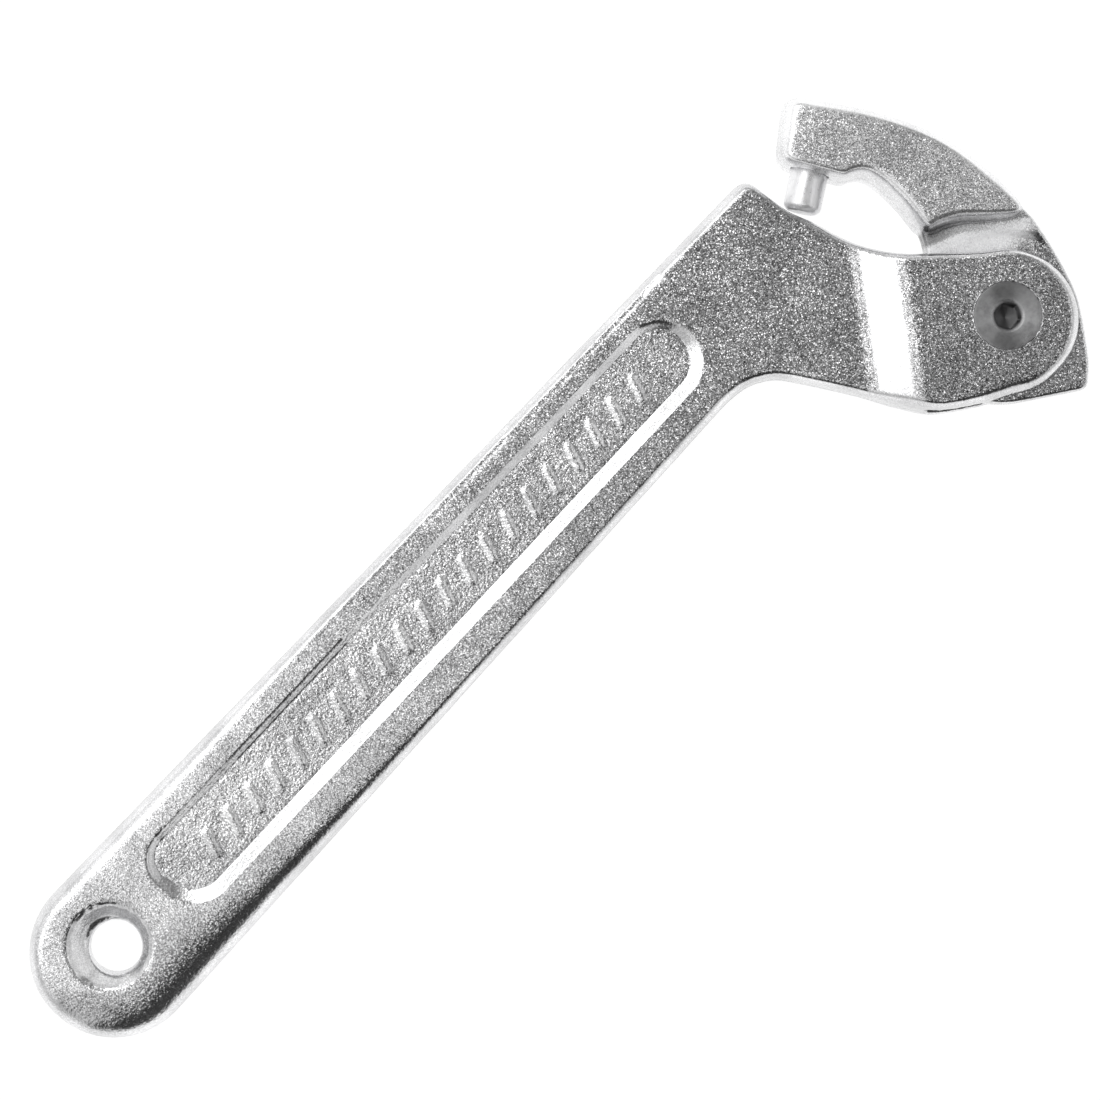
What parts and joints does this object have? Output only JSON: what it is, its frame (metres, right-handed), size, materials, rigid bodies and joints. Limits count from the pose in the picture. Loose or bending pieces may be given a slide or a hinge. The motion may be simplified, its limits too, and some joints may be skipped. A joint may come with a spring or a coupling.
{
  "type": "adjustable pin spanner",
  "caption": "Forged pin spanner with a long recessed handle, a hanging hole and a hinged hook jaw with a round steel pin.",
  "frame": {"origin": "centre of the bounding box, on the plane of the back face that the head rests on, with the jaw closed", "axes": "+X along the handle from the hanging hole towards the head, +Y across the head towards the side the hook closes on, +Z out of the front face, where the screw head is"},
  "size_m": [0.2104, 0.0692, 0.014],
  "materials": {
    "forged_chrome": "bright plating over a coarse forged surface, speckled, brightest on the rounded rims",
    "pin_steel": "turned and plated, smooth and bright",
    "black_oxide": "black oxide, satin"
  },
  "bodies": {
    "handle_body": {"handle": "forged_chrome", "pivot_screw": "black_oxide"},
    "jaw_body": {"hook_jaw": "forged_chrome", "pin": "pin_steel"}
  },
  "joints": [
    {"name": "jaw_pivot", "type": "hinge", "parent": "handle_body", "child": "jaw_body", "pos_m": [0.08873, -0.01659, 0.007], "axis": [0, 0, -1], "range_deg": [0, 90]}
  ]
}
